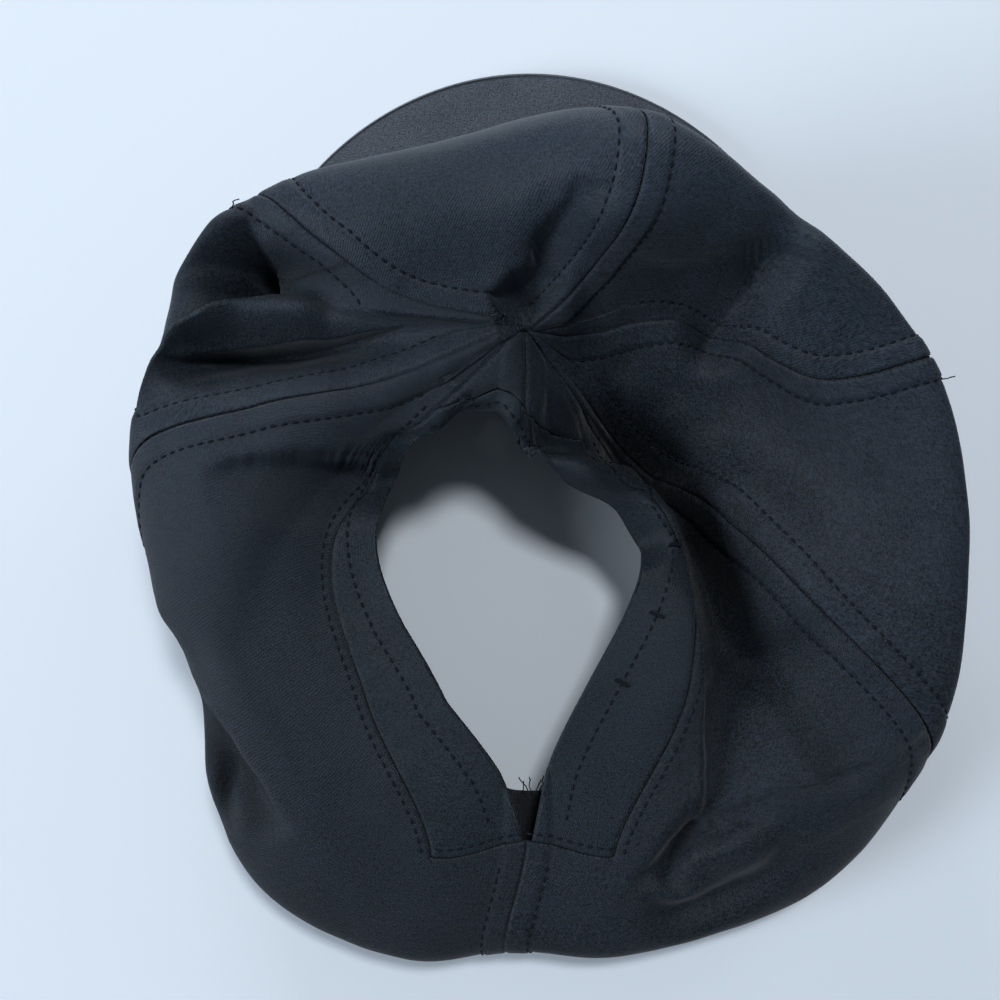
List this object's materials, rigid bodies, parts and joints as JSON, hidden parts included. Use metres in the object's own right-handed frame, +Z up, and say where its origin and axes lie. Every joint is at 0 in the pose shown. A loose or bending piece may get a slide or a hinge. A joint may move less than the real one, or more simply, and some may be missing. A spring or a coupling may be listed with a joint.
{
  "type": "ponytail baseball cap",
  "caption": "Soft slumped baseball cap lying on its rim, with a peak, sewn panels, and a large framed ponytail opening above an elastic back band.",
  "frame": {"origin": "on the surface that the cap lies on, under the middle of its box", "axes": "+X to the wearer's right, +Y towards the tip of the peak, +Z up from the rim"},
  "size_m": [0.2146, 0.2666, 0.0998],
  "materials": {
    "crown_cloth": "fine matt twill, dark charcoal",
    "placket_cloth": "smooth plain weave, dark charcoal",
    "peak_cloth": "smooth matt cloth over a board",
    "band_cloth": "matt cotton band",
    "elastic": "ribbed woven elastic"
  },
  "bodies": {
    "root": {"peak": "peak_cloth", "front_left_panel": "crown_cloth", "front_right_panel": "crown_cloth", "side_left_panel": "crown_cloth", "side_right_panel": "crown_cloth", "back_left_panel": "crown_cloth", "back_right_panel": "crown_cloth", "placket_left": "placket_cloth", "placket_right": "placket_cloth", "sweatband": "band_cloth", "elastic_band": "elastic"}
  },
  "joints": []
}
